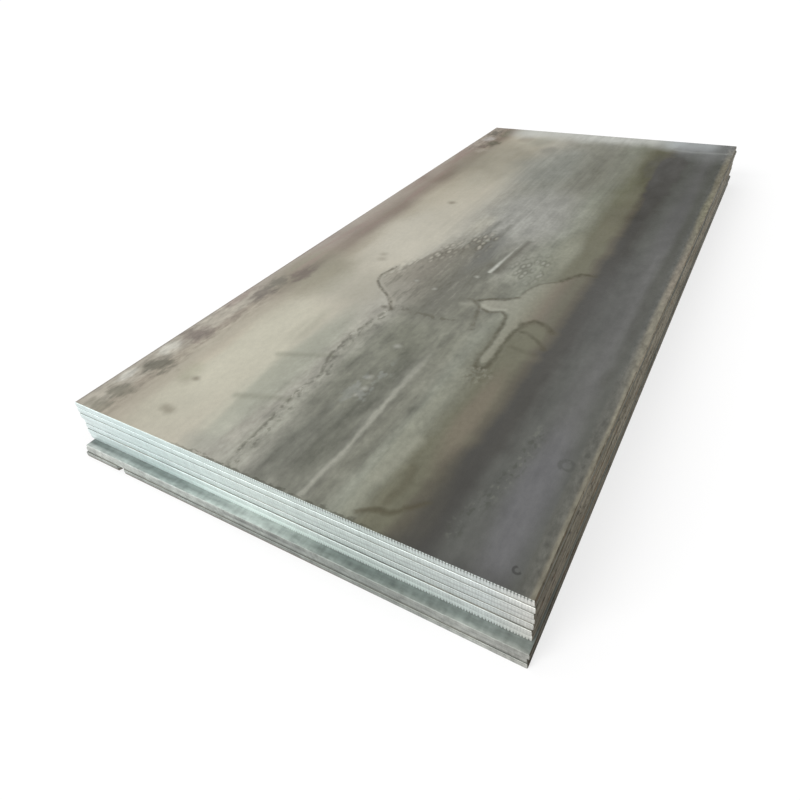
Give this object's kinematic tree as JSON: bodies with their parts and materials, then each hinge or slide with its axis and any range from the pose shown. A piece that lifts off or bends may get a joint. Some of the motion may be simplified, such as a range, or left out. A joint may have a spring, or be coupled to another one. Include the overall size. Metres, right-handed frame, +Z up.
{
  "type": "steel plate stack",
  "caption": "Flat stack of loose hot-rolled steel plates in two packs, the upper set back on the lower, with sheared ends and round mill edges.",
  "frame": {"origin": "middle of the stack's footprint, on the floor that it lies on", "axes": "+X across the plates, +Y along their length with the near end at -Y, +Z up"},
  "size_m": [1.2786, 2.8282, 0.1794],
  "materials": {
    "top_plate_steel": "hot-rolled mill scale with water stains",
    "upper_plate_steel": "bright sheared ends, dark mill edges",
    "lower_plate_steel": "dull sheared ends, dark mill edges"
  },
  "bodies": {
    "root": {"lower_plate_1": "lower_plate_steel", "lower_plate_2": "lower_plate_steel", "lower_plate_3": "lower_plate_steel", "upper_plate_1": "upper_plate_steel", "upper_plate_2": "upper_plate_steel", "upper_plate_3": "upper_plate_steel", "upper_plate_4": "upper_plate_steel", "upper_plate_5": "upper_plate_steel", "upper_plate_6": "upper_plate_steel", "upper_plate_7": "top_plate_steel"}
  },
  "joints": []
}
